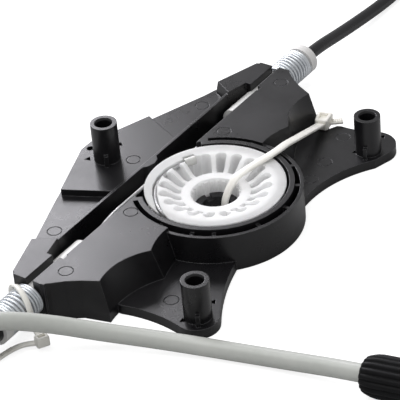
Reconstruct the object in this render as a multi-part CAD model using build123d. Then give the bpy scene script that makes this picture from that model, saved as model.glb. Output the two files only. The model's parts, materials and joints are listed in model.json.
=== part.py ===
from build123d import *
import os
from math import asin, atan2, cos, degrees, pi, radians, sin, tan

# Drum unit of a cable window regulator. A moulded housing carries a cable drum in a cup, and two
# cables leave the drum along a straight channel, each through a spring-loaded guide sleeve.
# Millimetres. The origin lies on the drum's axis at the plane of the housing's feet, +Z is up,
# +X runs along the cable channel and +Y points to the single post beyond the channel.

# Levels of the housing, from the plane of its feet
PLATE_TOP = 4.2
PLATE_SKIN = 2.4
FLOOR_TOP = 4.0
FLOOR_SKIN = 2.0
DECK_TOP = 17.5
WING_TOP = 13.0
WING_SKIN = 3.0
PAD_TOP = 16.0
RIM_TOP = 16.5
SHROUD_TOP = 16.1
WALL = 2.0
RIB = 1.6

# Cup and drum
DRUM_OD = 56.0
DRUM_TO_CUP = 1.1
CUP_RING_WALL = 2.1
SLOT_WIDTH = 2.0
SHROUD_WALL = 1.5
DRUM_FLOAT = 0.3
DRUM_HEIGHT = 12.9
FLANGE_TOP = 0.9
FLANGE_BOTTOM = 1.1
FLANGE_DEPTH = 2.4
RIM_WIDTH = 6.0
HUB_WALL = 3.5
HUB_DROP = 3.8
SPLINE_ROOT_R = 9.9
SPLINE_DEPTH = 0.75
SPLINE_TEETH = 24
TOOTH_LEAD = 1.0
POCKETS = 20
SPOKE = 1.8
POCKET_FLOOR = 2.0
SPIGOT_OD = 18.0
SPIGOT_BORE = 12.0
SPIGOT_TOP = 7.4
SPIGOT_NOTCHES = 6
RUNNING_CLEARANCE = 0.05

# Cables, sleeves and springs
CABLE_OD = 1.5
CABLE_PITCH = 1.9
UPPER_CABLE_Z = 15.4
LOWER_CABLE_Z = 12.1
CABLE_LINE_OFFSET = 1.0
CABLE_LINE_Z = 9.3
SLEEVE_OD = 9.6
SLEEVE_BORE = 2.6
SLEEVE_LENGTH = 52.0
SLEEVE_FLANGE_OD = 13.2
SLEEVE_FLANGE = 4.0
SLEEVE_TRAVEL = 2.5
SLEEVE_ROOM = 0.2
SPRING_OD = 13.2
SPRING_WIRE = 1.25
SPRING_LENGTH = 18.7
SPRING_TURNS = 11
CONDUIT_BLACK_OD = 5.5
CONDUIT_GREY_OD = 6.9
SOCKET_DEPTH = 6.0
SEAT_GAP = 0.2

# Cable channel and the blocks at its two ends
CHANNEL_TO_DECK = 3.3
CHANNEL_TO_WING = 6.4
CHANNEL_TO_END = 3.9
CHANNEL_TAPER_X = 58.6
CHANNEL_END_X = 68.7
CHANNEL_RIM = 1.2
END_X = 85.3
END_SLOT = 3.4
END_SLOT_SHIFT = 0.3
BOSS_WALL = 2.4
BLOCK_RISE_X = 58.6
BLOCK_RAMP = 1.7

# Fastening posts: place of each axis, and the level of the face it stands on
POST_OD = 10.8
POST_BORE = 6.4
POST_MOUTH = 7.4
POST_HEIGHT = 16.8
POST_RIB = 5.0
POST_A = (-3.3, 50.1)
POST_B = (65.1, -30.5)
POST_C = (-59.6, -31.2)

# Transport tie through the drum, and the small tie on the left spring
TIE_WIDTH = 4.8
TIE_THICK = 1.2
TIE_GAP = 0.45
CLIP_WIDTH = 2.5
CLIP_THICK = 1.0

# Fine marks
EJECTOR_R = 3.0
EJECTOR_DEPTH = 0.25

# Derived sizes that several pieces share
DRUM_R = DRUM_OD / 2
CUP_R = DRUM_R + DRUM_TO_CUP
RING_R = CUP_R + CUP_RING_WALL
SLOT_R = RING_R + SLOT_WIDTH
SHROUD_R = SLOT_R + SHROUD_WALL
DRUM_Z0 = FLOOR_TOP + DRUM_FLOAT
DRUM_Z1 = DRUM_Z0 + DRUM_HEIGHT
WIND_R = DRUM_R - FLANGE_DEPTH
CABLE_LINE_Y = WIND_R + CABLE_LINE_OFFSET
CHANNEL_DECK_Y = CABLE_LINE_Y - CHANNEL_TO_DECK
CHANNEL_WING_Y = CABLE_LINE_Y + CHANNEL_TO_WING
CHANNEL_END_Y = CABLE_LINE_Y + CHANNEL_TO_END
GROOVE_BOTTOM = DRUM_Z0 + FLANGE_BOTTOM
LOWER_TURNS = 1 + int((LOWER_CABLE_Z - CABLE_OD / 2 - GROOVE_BOTTOM) / CABLE_PITCH)
GROOVE_R = WIND_R - CABLE_OD / 2 - RUNNING_CLEARANCE
SPLINE_TIP_R = SPLINE_ROOT_R - SPLINE_DEPTH
SLEEVE_BORE_R = SLEEVE_OD / 2 + RUNNING_CLEARANCE
FLANGE_X = END_X + SPRING_LENGTH
SLEEVE_OUT_X = FLANGE_X + SLEEVE_FLANGE
SLEEVE_IN_X = FLANGE_X - SLEEVE_LENGTH
SOCKET_X = SLEEVE_OUT_X - SOCKET_DEPTH
SEAT_X = SOCKET_X + SEAT_GAP
TIE_Z = DECK_TOP + TIE_GAP + TIE_THICK / 2


def prism(points, low, high):
    return extrude(Pos(0, 0, low) * make_face(Polyline(*points, close=True)), high - low)


def disc(radius, low, high, at=(0, 0)):
    return Pos(at[0], at[1], low) * Cylinder(radius, high - low, align=(Align.CENTER, Align.CENTER, Align.MIN))


def tube(outer, inner, low, high, at=(0, 0)):
    return disc(outer, low, high, at) - disc(inner, low - 1, high + 1, at)


def block(x0, x1, y0, y1, z0, z1):
    return Pos((x0 + x1) / 2, (y0 + y1) / 2, (z0 + z1) / 2) * Box(x1 - x0, y1 - y0, z1 - z0)


def rod(radius, start, end):
    """A round bar from one point to another."""
    line = Vector(*end) - Vector(*start)
    plane = Plane(origin=Vector(*start), z_dir=line)
    return extrude(plane * Circle(radius), line.length)


def polar(radius, angle, z=None):
    x = radius * cos(radians(angle))
    y = radius * sin(radians(angle))
    return (x, y) if z is None else (x, y, z)


def on_line(x):
    """The point of the cable line at one place along X."""
    return (x, CABLE_LINE_Y, CABLE_LINE_Z)


def both_sides(shape):
    return shape + mirror(shape, about=Plane.YZ)


# Base plate
LOBE_C_R = 8.6
LOBE_B_R = 9.2
LOBE_B_CENTRE = (70.4, -29.9)
LOBE_C_CENTRE = (-59.8, -31.0)


def plate_sketch(inset=0.0):
    """Outline of the plate round both lobes, drawn inwards by an even margin for the hollow under it."""
    left = Polyline((-24, -24.8), (-18, 0), (-18, 4), (-68, 4), (-68, -1.8))
    left += ThreePointArc((-68, -1.8), (-66.4, -13), (-68.3, -29.7))
    left += Line((-68.3, -29.7), (-54.9, -38.1))
    left += ThreePointArc((-54.9, -38.1), (-40.7, -30.4), (-24, -24.8))
    right = Polyline((22.6, -25.7), (18, 0), (18, 4), (69.8, 4), (69.8, -7), (75.0, -9.6), (75.7, -11.2))
    right += ThreePointArc((75.7, -11.2), (76.2, -18), (79.4, -28.4))
    right += Polyline((79.4, -28.4), (67.6, -38.6), (60.4, -36.4))
    right += ThreePointArc((60.4, -36.4), (41.5, -27.0), (22.6, -25.7))
    sides = [make_face(left), make_face(right)]
    if inset:
        sides = [offset(side, -inset) for side in sides]
    sketch = sides[0] + sides[1]
    sketch += Pos(*LOBE_C_CENTRE) * Circle(LOBE_C_R - inset)
    sketch += Pos(*LOBE_B_CENTRE) * Circle(LOBE_B_R - inset)
    return sketch


def base_plate():
    plate = extrude(plate_sketch(), PLATE_TOP) + disc(SHROUD_R, 0, PLATE_TOP)
    hollow = extrude(plate_sketch(WALL), PLATE_TOP - PLATE_SKIN) - disc(SHROUD_R, -1, PLATE_TOP)
    return plate - hollow - disc(SLOT_R - 1, -1, FLOOR_TOP - FLOOR_SKIN)


# Deck on each side of the cup, with two scooped walls towards the base plate
DECK_END = [(65.8, 23.3), (65.8, 22.7), (69.0, 22.7), (69.0, 24.6), (85.3, 24.6), (85.6, 21.0),
            (83.4, 17.8), (79.7, 13.6), (76.7, 8.9)]
DECK_SCOOP_TOP = [(73.4, 2.3), (61.5, 3.0), (48.5, -3.5), (40.0, -0.9), (33.5, -0.6)]
DECK_SCOOP_FOOT = [(74.2, -1.4), (61.5, -0.9), (46.5, -6.9), (41.0, -5.2), (34.5, -4.0)]
DECK_INNER_X = 16.0


def deck_face(scoop, z):
    points = [(DECK_INNER_X, CHANNEL_DECK_Y)] + DECK_END
    outline = Polyline(*points, scoop[0])
    outline += ThreePointArc(scoop[0], scoop[1], scoop[2])
    outline += ThreePointArc(scoop[2], scoop[3], scoop[4])
    outline += Polyline(scoop[4], (DECK_INNER_X, scoop[4][1]), points[0])
    return Pos(0, 0, z) * make_face(outline)


def deck():
    low = extrude(deck_face(DECK_SCOOP_FOOT, 0), PLATE_TOP)
    high = loft([deck_face(DECK_SCOOP_FOOT, PLATE_TOP), deck_face(DECK_SCOOP_TOP, DECK_TOP)], ruled=True)
    return low + high


DECK_HOLLOW_X = SHROUD_R + 2.5
DECK_HOLLOW_SLOPE = 3.6
DECK_HOLLOW_TO_END = 15.0
DECK_HOLLOW_EDGE = [(80.8, 18.0), (77.0, 13.6), (73.8, 8.9), (70.6, 4.6), (62.0, 5.2), (52.0, 2.0), (48.5, -0.6),
                    (41.0, 1.8), (DECK_HOLLOW_X, 2.2)]
DECK_RIBS_X = (49.0, 62.0)
DECK_RIB_FOOT = 1.0


def deck_hollow():
    """The open space under a deck, in cells between two ribs."""
    back = CHANNEL_DECK_Y - WALL
    cell = [(DECK_HOLLOW_X, back), (END_X - DECK_HOLLOW_TO_END, back - DECK_HOLLOW_SLOPE)] + DECK_HOLLOW_EDGE
    hollow = prism(cell, -1, DECK_TOP - PLATE_SKIN)
    for x in DECK_RIBS_X:
        hollow -= block(x - RIB / 2, x + RIB / 2, -10, 30, DECK_RIB_FOOT, DECK_TOP)
    return hollow


# Wing beyond the channel, with the raised pad round post A
WING_OUTLINE = [(33.7, 53.5), (58.1, 44.6), (63.1, 43.2), (84.0, 35.0), (85.3, 31.5), (85.3, 28.6)]
PAD_HALF = [(21.0, 33.0), (30.3, 53.3), (3.3, 63.3)]


def mirrored(points):
    return [(-x, y) for x, y in reversed(points)]


def wing():
    outline = [(0, CHANNEL_DECK_Y), (END_X, CHANNEL_DECK_Y)] + WING_OUTLINE[::-1]
    outline += [PAD_HALF[2], (0, PAD_HALF[2][1])]
    plate = both_sides(prism(outline, WING_TOP - WING_SKIN, WING_TOP))
    pad = prism(PAD_HALF + mirrored(PAD_HALF), WING_TOP - WING_SKIN, PAD_TOP)
    rim_end = BLOCK_RISE_X + 1
    rim = block(-rim_end, rim_end, CHANNEL_WING_Y, CHANNEL_WING_Y + CHANNEL_RIM, WING_TOP, RIM_TOP)
    return plate + pad + rim


WEBS_X = (14.0, 28.0, 44.0, 60.0)
WEB_DEPTH = 16.0
WEB_TAPER = 0.12


def wing_wall():
    """Wall between the channel and the wing, from the feet up to the wing, with webs under the wing."""
    line = [(0, CHANNEL_WING_Y), (CHANNEL_TAPER_X, CHANNEL_WING_Y), (CHANNEL_END_X, CHANNEL_END_Y)]
    back = [(x, y + WALL) for x, y in reversed(line)]
    wall = prism(line + back, 0, WING_TOP)
    for x in WEBS_X:
        depth = WEB_DEPTH - WEB_TAPER * x
        web = Polyline((CHANNEL_WING_Y, 1), (CHANNEL_WING_Y + depth, WING_TOP - WING_SKIN),
                       (CHANNEL_WING_Y, WING_TOP - WING_SKIN), close=True)
        wall += extrude(Plane.YZ.offset(x - RIB / 2) * make_face(web), RIB)
    return both_sides(wall)


def end_block():
    """Raised block at the end of the channel, with the ramp that leads up to it and the sleeve's boss."""
    rise = [(BLOCK_RISE_X, CHANNEL_WING_Y - 1.0), (64.0, 41.5), (84.0, 35.0), (85.3, 31.5), (85.3, 28.6),
            (CHANNEL_END_X, 28.6), (CHANNEL_END_X, CHANNEL_END_Y)]
    foot = [(rise[0][0] - BLOCK_RAMP, rise[0][1]), (rise[1][0] - BLOCK_RAMP, rise[1][1])] + rise[2:]
    top_face = Pos(0, 0, DECK_TOP) * make_face(Polyline(*rise, close=True))
    foot_face = Pos(0, 0, WING_TOP) * make_face(Polyline(*foot, close=True))
    raised = loft([foot_face, top_face], ruled=True)
    reach = SLEEVE_BORE_R + BOSS_WALL
    boss = block(CHANNEL_END_X, END_X, CABLE_LINE_Y - reach, CABLE_LINE_Y + reach, 0, DECK_TOP)
    return raised + boss


def channel_cut():
    half = [(0, CHANNEL_DECK_Y), (CHANNEL_END_X, CHANNEL_DECK_Y), (CHANNEL_END_X, CHANNEL_END_Y),
            (CHANNEL_TAPER_X, CHANNEL_WING_Y), (0, CHANNEL_WING_Y)]
    cut = prism(half, FLOOR_TOP, DECK_TOP + 3)
    slot_y = CABLE_LINE_Y - END_SLOT_SHIFT
    cut += block(CHANNEL_END_X - 1, END_X + 1, slot_y - END_SLOT / 2, slot_y + END_SLOT / 2, CABLE_LINE_Z, DECK_TOP + 1)
    cut += rod(SLEEVE_BORE_R, on_line(CHANNEL_END_X - 1), on_line(END_X + 1))
    cut += rod(SLEEVE_BORE_R + SLEEVE_ROOM, on_line(SLEEVE_IN_X - SLEEVE_TRAVEL - 2), on_line(CHANNEL_END_X))
    return both_sides(cut)


# Angles of the thin bridges in the slot round the cup, and where the slot ends beside the channel
BRIDGES = (-3, 7.5, 172.5, 197.6, 212.8, 244.6, 272, 300, 325)
BRIDGE = 1.4
SLOT_ENDS = (39.0, 139.0)


def cup_walls():
    """Floor, shroud and inner ring as one turned block, which the slot and the drum's space then open."""
    turned = disc(SHROUD_R, FLOOR_TOP - FLOOR_SKIN, SHROUD_TOP)
    turned += disc(RING_R + SLOT_WIDTH / 3, SHROUD_TOP, DECK_TOP)
    return turned + tube(SHROUD_R, SLOT_R - 1, 0, FLOOR_TOP)


def slot_cut():
    """Slot between the cup's inner ring and its shroud, crossed by bridges."""
    cut = tube(SLOT_R, RING_R, FLOOR_TOP, DECK_TOP + 1)
    solid_part = [(0, 0), polar(2 * SHROUD_R, SLOT_ENDS[0]), polar(2 * SHROUD_R, SLOT_ENDS[1])]
    bars = [Rot(0, 0, angle) * block(RING_R - 1, SLOT_R + 1, -BRIDGE / 2, BRIDGE / 2, FLOOR_TOP - 1, SHROUD_TOP)
            for angle in BRIDGES]
    return cut - [prism(solid_part, FLOOR_TOP - 1, DECK_TOP + 2)] - bars


MOUTH_ANGLE = 44.5


def mouth_cut():
    """Opens the inner ring towards the channel, so that both cables leave the drum freely."""
    far = 1.5 * RING_R
    wedge = [(0, 0), polar(far, MOUTH_ANGLE), (0, far), polar(far, 180 - MOUTH_ANGLE)]
    return prism(wedge, FLOOR_TOP, DECK_TOP + 1) & disc(RING_R + 0.2, FLOOR_TOP, DECK_TOP + 1)


POST_BOSS_WALL = 0.9
POST_RIB_REACH = 1.6
POST_MOUTH_DEPTH = 0.8


def post(at, foot, bottom, rib_angle):
    """A round post with a screw bore, a rib at its foot and a boss below it."""
    body = disc(POST_OD / 2, foot - 1, foot + POST_HEIGHT, at)
    body += disc(POST_OD / 2 + POST_BOSS_WALL, bottom, foot - 1, at)
    rib = block(0, POST_OD / 2 + POST_RIB_REACH, -RIB / 2, RIB / 2, foot - 1, foot + POST_RIB)
    return body + Pos(*at) * Rot(0, 0, rib_angle) * rib


def post_cut(at, foot):
    top = foot + POST_HEIGHT
    mouth = Pos(at[0], at[1], top - POST_MOUTH_DEPTH / 2) * Cone(POST_BORE / 2, POST_MOUTH / 2, POST_MOUTH_DEPTH)
    return disc(POST_BORE / 2, -1, top + 1, at) + mouth


# Small triangular core holes beside each post, as place and pointing angle, with the skin they pierce
CORE_HOLES = [(-64.5, -27.8, 160), (-49.7, -31.3, 0), (61.8, -26.4, 150), (76.8, -30.4, 350),
              (-7.5, 56.6, 130), (7.2, 51.5, 20)]
CORE_HOLE_R = 1.6
PAD_HOLE = (-0.8, 60.4)
PAD_HOLE_R = 1.5


def core_holes():
    cut = disc(PAD_HOLE_R, 0, PAD_TOP + 1, PAD_HOLE)
    for x, y, angle in CORE_HOLES:
        corners = [polar(CORE_HOLE_R, angle + turn) for turn in (0, 120, 240)]
        cut += Pos(x, y, 0) * prism(corners, -1, PAD_TOP + 1)
    return cut


EJECTORS = [(-74.4, 17.2, DECK_TOP), (-31.5, 18.0, DECK_TOP), (33.2, 18.0, DECK_TOP), (75.5, 17.4, DECK_TOP),
            (-51.0, 41.0, WING_TOP), (51.0, 41.0, WING_TOP), (0.6, 40.0, PAD_TOP), (36.6, -20.7, PLATE_TOP),
            (49.7, -19.3, PLATE_TOP), (69.0, -16.2, PLATE_TOP), (-56.3, -16.9, PLATE_TOP)]
EJECTOR_LINE = 0.3


def ejector_marks():
    """Round witness lines that the mould's pins leave on the flat faces."""
    marks = None
    for x, y, top in EJECTORS:
        mark = tube(EJECTOR_R, EJECTOR_R - EJECTOR_LINE, top - EJECTOR_DEPTH, top + 0.5, (x, y))
        marks = mark if marks is None else marks + mark
    return marks


NOTCH_WIDTH = 2.2
NOTCH_DEPTH = 1.5


def spigot():
    """Centre ring that the drum turns on, notched round its top."""
    ring = disc(SPIGOT_OD / 2, 0, SPIGOT_TOP)
    half = NOTCH_WIDTH / 2
    for i in range(SPIGOT_NOTCHES):
        notch = block(SPIGOT_BORE / 2 - 1, SPIGOT_OD / 2 + 1, -half, half, SPIGOT_TOP - NOTCH_DEPTH, SPIGOT_TOP + 1)
        ring -= Rot(0, 0, 360 / SPIGOT_NOTCHES * i) * notch
    return ring


# Route of the transport tie: down through the spigot, below the floor and up round the plate's edge
TIE_UNDER_Z = 1.15
TIE_ROUTE = [(69.5, -5.8, 7.2), (33.5, -10.2, TIE_Z + 0.2), (25.0, -9.0, TIE_Z), (16.0, -6.3, 17.2),
             (8.4, -3.3, 15.5), (4.6, -1.9, 10.5), (3.2, -1.4, 7.6), (3.1, -1.4, TIE_UNDER_Z),
             (73.2, -4.9, TIE_UNDER_Z), (73.2, -4.9, 5.4)]
TIE_TAIL = [(73.2, -5.6, 5.9), (77.8, -10.8, 5.5)]
TIE_HEAD = (6.8, 6.6, 5.0)
TIE_HEAD_PLACE = (72.0, -5.0, 7.0)
TIE_NOTCH_GAP = 0.35


def tie_notch():
    """Shallow pass under the plate for the transport tie."""
    start = TIE_ROUTE[-3]
    end = TIE_ROUTE[-2]
    length = ((end[0] - start[0]) ** 2 + (end[1] - start[1]) ** 2) ** 0.5
    angle = degrees(atan2(end[1] - start[1], end[0] - start[0]))
    height = start[2] + TIE_THICK / 2 + TIE_NOTCH_GAP
    half = TIE_WIDTH / 2 + TIE_NOTCH_GAP
    bar = block(-half, length + 2 * half, -half, half, -1, height)
    return Pos(start[0], start[1], 0) * Rot(0, 0, angle) * bar


def housing():
    body = base_plate() + both_sides(deck()) + wing() + wing_wall() + cup_walls()
    floor_end = CHANNEL_END_X + 1
    body += block(-floor_end, floor_end, CHANNEL_DECK_Y - WALL, CHANNEL_WING_Y, FLOOR_TOP - FLOOR_SKIN, FLOOR_TOP)
    body -= both_sides(deck_hollow())
    body += both_sides(end_block())
    body -= channel_cut()
    body -= slot_cut()
    body -= disc(CUP_R, FLOOR_TOP, DECK_TOP + 5)
    body -= mouth_cut()
    body += wing_hood()
    body += spigot()
    body += post(POST_A, PAD_TOP, 1.0, 215)
    body += post(POST_B, PLATE_TOP, 0, 200)
    body += post(POST_C, PLATE_TOP, 0, 215)
    for at, foot in ((POST_A, PAD_TOP), (POST_B, PLATE_TOP), (POST_C, PLATE_TOP)):
        body -= post_cut(at, foot)
    body -= disc(SPIGOT_BORE / 2, -1, SPIGOT_TOP + 1)
    body -= core_holes()
    body -= ejector_marks()
    body -= tie_notch()
    return body


WING_HOOD = [(-3.0, 33.4), (-1.4, 31.6), (1.9, 30.5), (5.0, 31.2), (7.1, 33.4)]


def wing_hood():
    """Small bulge of the wing's wall that keeps the cables on the drum."""
    return prism(WING_HOOD, FLOOR_TOP - 1, RIM_TOP)


# Drum
SPLINE_FOOT = SPIGOT_TOP - 0.5
POCKET_TO_HUB = 0.4
POCKET_TO_RIM = 1.8


def drum_body():
    rim_in = DRUM_R - RIM_WIDTH
    hub_r = SPLINE_ROOT_R + HUB_WALL
    hub_z = DRUM_Z1 - HUB_DROP
    bore_r = SPIGOT_OD / 2 + RUNNING_CLEARANCE
    outline = Polyline((bore_r, DRUM_Z0), (bore_r, SPLINE_FOOT), (SPLINE_ROOT_R, SPLINE_FOOT), (SPLINE_ROOT_R, hub_z),
                       (hub_r, hub_z))
    outline += Spline((hub_r, hub_z), (rim_in, DRUM_Z1), tangents=[(1, 0), (1, 0)])
    outline += Polyline((rim_in, DRUM_Z1), (DRUM_R, DRUM_Z1), (DRUM_R, DRUM_Z1 - FLANGE_TOP),
                        (GROOVE_R, DRUM_Z1 - FLANGE_TOP), (GROOVE_R, GROOVE_BOTTOM), (DRUM_R, GROOVE_BOTTOM),
                        (DRUM_R, DRUM_Z0), (bore_r, DRUM_Z0))
    profile = Plane.XZ * make_face(outline)
    return revolve(profile, Axis.Z)


def pocket(angle):
    near = SPLINE_ROOT_R + HUB_WALL + POCKET_TO_HUB
    far = DRUM_R - RIM_WIDTH - POCKET_TO_RIM
    half_step = radians(180 / POCKETS)
    near_half = near * sin(half_step) - SPOKE / 2
    far_half = far * sin(half_step) - SPOKE / 2
    shape = make_face(Polyline((near, -near_half), (far, -far_half), (far, far_half), (near, near_half), close=True))
    shape += Pos(far, 0) * Circle(far_half)
    low = DRUM_Z0 + POCKET_FLOOR
    return Rot(0, 0, angle) * extrude(Pos(0, 0, low) * shape, DRUM_Z1 + 1 - low)


WIDE_POCKET_ANGLE = 54.0
NIPPLE_ANGLE = 61.0
NIPPLE_R = 1.8
NIPPLE_LENGTH = 4.6
NIPPLE_GAP = 0.2
NIPPLE_INSET = 0.75
NIPPLE_SEAT_R = WIND_R - CABLE_OD / 2 - NIPPLE_R - NIPPLE_INSET
CHANNEL_WIDTH = CABLE_OD + 0.4
CHANNEL_FLOOR_GAP = 0.1

# Line of the channel in the rim, as angles with radii: near the nipple's seat first, then out over the groove
CHANNEL_LINE = [(61, NIPPLE_SEAT_R - 0.1), (75, NIPPLE_SEAT_R), (90, NIPPLE_SEAT_R + 0.6), (105, NIPPLE_SEAT_R + 1.1),
                (120, WIND_R - 1.8), (135, WIND_R - 1.5), (147, WIND_R - 0.8), (157, WIND_R + 0.6), (166, WIND_R + 2.0),
                (176, WIND_R + 3.7)]
JOIN_ANGLE = 160
LEAVE_ANGLE = 450
WINDING_STEP = 29
NIPPLE_TO_CABLE = 0.5
LOWER_NIPPLE_ANGLE = 250.0


def nipple_seat(angle, low, high):
    along = NIPPLE_LENGTH / 2 + NIPPLE_GAP
    across = NIPPLE_R + NIPPLE_GAP
    seat = block(NIPPLE_SEAT_R - across, NIPPLE_SEAT_R + across, -along, along, low, high)
    return Rot(0, 0, angle) * seat


def cable_channel():
    """Curved channel in the rim's top face, from the nipple's seat out to the groove under the flange."""
    half = CHANNEL_WIDTH / 2
    low = UPPER_CABLE_Z - CABLE_OD / 2 - CHANNEL_FLOOR_GAP
    outer = [polar(radius + half, angle) for angle, radius in CHANNEL_LINE]
    inner = [polar(radius - half, angle) for angle, radius in reversed(CHANNEL_LINE)]
    under = [polar(min(radius, WIND_R) - half, angle) for angle, radius in reversed(CHANNEL_LINE)]
    return prism(outer + inner, low, DRUM_Z1 + 1) + prism(outer + under, low, DRUM_Z1 - FLANGE_TOP)


TOOTH_SINK = 0.3
TOOTH_FOOT_SHARE = 0.75
TOOTH_TIP_SHARE = 0.4


def spline_tooth():
    step = radians(180 / SPLINE_TEETH)
    foot = SPLINE_ROOT_R * sin(step) * TOOTH_FOOT_SHARE
    tip = SPLINE_TIP_R * sin(step) * TOOTH_TIP_SHARE
    outline = [(SPLINE_ROOT_R + TOOTH_SINK, -foot), (SPLINE_ROOT_R + TOOTH_SINK, foot), (SPLINE_TIP_R, tip),
               (SPLINE_TIP_R, -tip)]
    return prism(outline, SPLINE_FOOT, DRUM_Z1 - HUB_DROP - TOOTH_LEAD)


def cable_drum():
    body = drum_body()
    pockets = [pocket(360 / POCKETS * (i + 0.5)) for i in range(POCKETS)]
    body -= pockets + [pocket(WIDE_POCKET_ANGLE)]
    tooth = spline_tooth()
    body += [Rot(0, 0, 360 / SPLINE_TEETH * i) * tooth for i in range(SPLINE_TEETH)]
    body -= nipple_seat(NIPPLE_ANGLE, UPPER_CABLE_Z - NIPPLE_R - NIPPLE_GAP, DRUM_Z1 + 1)
    body -= nipple_seat(LOWER_NIPPLE_ANGLE, DRUM_Z0 - 1, DRUM_Z0 + 2 * NIPPLE_R + NIPPLE_GAP)
    body -= cable_channel()
    return body


def nipple(angle, z):
    start = (NIPPLE_SEAT_R, -NIPPLE_LENGTH / 2, z)
    end = (NIPPLE_SEAT_R, NIPPLE_LENGTH / 2, z)
    return Rot(0, 0, angle) * rod(NIPPLE_R, start, end)


def winding_upper():
    """The upper cable from its nipple along the channel, then round the groove to where it leaves."""
    start = NIPPLE_ANGLE + degrees(asin(NIPPLE_LENGTH / 2 / NIPPLE_SEAT_R)) + NIPPLE_TO_CABLE
    lead = [(start, NIPPLE_SEAT_R)] + [step for step in CHANNEL_LINE if start + 5 < step[0] < JOIN_ANGLE - 10]
    turns = [(angle, WIND_R) for angle in range(JOIN_ANGLE, LEAVE_ANGLE + 1, WINDING_STEP)]
    points = [Vector(*polar(radius, angle, UPPER_CABLE_Z)) for angle, radius in lead + turns]
    path = Spline(*points)
    return sweep(Plane(origin=path @ 0, z_dir=path % 0) * Circle(CABLE_OD / 2), path)


def winding_lower():
    """Turns of the lower cable, side by side in the groove."""
    inner = WIND_R - CABLE_OD / 2
    top = LOWER_CABLE_Z + CABLE_OD / 2
    bottom = LOWER_CABLE_Z - (LOWER_TURNS - 1) * CABLE_PITCH - CABLE_OD / 2
    outline = Line((inner, bottom), (WIND_R, bottom))
    for i in range(LOWER_TURNS):
        z = bottom + CABLE_OD / 2 + i * CABLE_PITCH
        outline += ThreePointArc((WIND_R, z - CABLE_OD / 2), (WIND_R + CABLE_OD / 2, z), (WIND_R, z + CABLE_OD / 2))
        if i < LOWER_TURNS - 1:
            outline += Line((WIND_R, z + CABLE_OD / 2), (WIND_R, z + CABLE_PITCH - CABLE_OD / 2))
    outline += Polyline((WIND_R, top), (inner, top), (inner, bottom))
    return revolve(Plane.XZ * make_face(outline), Axis.Z)


CABLE_START_X = 9.2
CABLE_START_GAP = 0.1
CABLE_INSIDE = 20.0
CABLE_DIP = 14.0
CABLE_DIP_Z = 0.9
CABLE_DIP_Y = 0.3


def cable_run(side, z):
    """The slack cable from the drum's tangent, level at first, then down into the sleeve's bore."""
    mouth = SLEEVE_IN_X - 1
    points = [(side * CABLE_START_X, WIND_R + CABLE_START_GAP, z),
              (side * (mouth - CABLE_DIP), CABLE_LINE_Y - CABLE_DIP_Y, z - CABLE_DIP_Z),
              on_line(side * (mouth - 2)), on_line(side * (mouth + CABLE_INSIDE))]
    return cord(CABLE_OD, points, "cable run")


def cord(diameter, points, name):
    """A tube along straight runs joined by tangent arcs, each as large as its two runs allow."""
    places = [Vector(*p) for p in points]
    radii = []
    for a, b, c in zip(places, places[1:], places[2:]):
        turn = (b - a).get_angle(c - b)
        radii.append(0.45 * min((b - a).length, (c - b).length) / tan(radians(turn / 2)))
    path = FilletPolyline(*places, radius=radii)
    section = Plane(origin=places[0], z_dir=places[1] - places[0]) * Circle(diameter / 2)
    solid = sweep(section, path)
    expected = pi * diameter ** 2 / 4 * path.length
    print(name, "radii", [round(r) for r in radii], "length", round(path.length, 1), "volume ratio",
          round(solid.volume / expected, 4))
    return solid


def sleeve(side, conduit_r):
    """Guide sleeve with a flange that the spring pushes on and a socket for the conduit."""
    outer = on_line(side * SLEEVE_OUT_X)
    body = rod(SLEEVE_OD / 2, on_line(side * SLEEVE_IN_X), outer)
    body += rod(SLEEVE_FLANGE_OD / 2, on_line(side * FLANGE_X), outer)
    body -= rod(SLEEVE_BORE / 2, on_line(side * (SLEEVE_IN_X - 1)), outer)
    return body - rod(conduit_r, on_line(side * SOCKET_X), on_line(side * (SLEEVE_OUT_X + 1)))


def spring(side):
    mean = (SPRING_OD - SPRING_WIRE) / 2
    height = SPRING_LENGTH - SPRING_WIRE - 2 * RUNNING_CLEARANCE
    helix = Helix(height / SPRING_TURNS, height, mean)
    plane = Plane(origin=helix @ 0, z_dir=helix % 0)
    coil = sweep(plane * Circle(SPRING_WIRE / 2), helix, is_frenet=True)
    start = END_X + SPRING_WIRE / 2 + RUNNING_CLEARANCE
    turned = Pos(start, CABLE_LINE_Y, CABLE_LINE_Z) * Rot(0, 90, 0) * coil
    return turned if side > 0 else mirror(turned, about=Plane.YZ)


# Conduits, as routes chosen by eye: each lies on the floor apart from where it meets its sleeve
FERRULE_OD = 10.0
FERRULE_LENGTH = 9.0
FERRULE_GAP = 0.6
RIGHT_ROUTE = [on_line(SEAT_X), (117.0, 26.6, 9.25),
               (141.0, 26.6, 5.6), (177.0, 25.6, 2.8), (199.0, 26.4, 2.76), (221.0, 34.0, 2.78), (236.0, 52.0, 2.77),
               (240.0, 75.0, 2.76), (231.0, 97.0, 2.77), (212.0, 111.0, 2.76), (194.0, 114.5, 2.76)]
LEFT_ROUTE = [on_line(-SLEEVE_OUT_X - FERRULE_LENGTH - FERRULE_GAP), (-134.0, 25.4, 8.0),
              (-160.0, 12.5, 3.8), (-191.7, -3.3, 3.5), (-214.5, -1.0, 3.47),
              (-233.0, 12.5, 3.5), (-242.1, 33.7, 3.5), (-239.1, 56.5, 3.6), (-224.9, 74.5, 4.6), (-203.5, 82.9, 7.2),
              (-180.8, 79.1, 10.2), (-148.0, 51.8, 16.2), (-124.0, 31.2, 19.2), (-111.3, 20.9, 18.4),
              (-97.6, 8.1, 12.0), (-88.2, -7.1, 7.5), (-80.0, -23.9, 5.0), (-73.9, -41.7, 4.0), (-68.7, -60.0, 3.6),
              (-64.6, -78.5, 4.2), (-62.4, -94.0, 5.8), (-61.9, -104.4, 7.2)]


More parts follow.
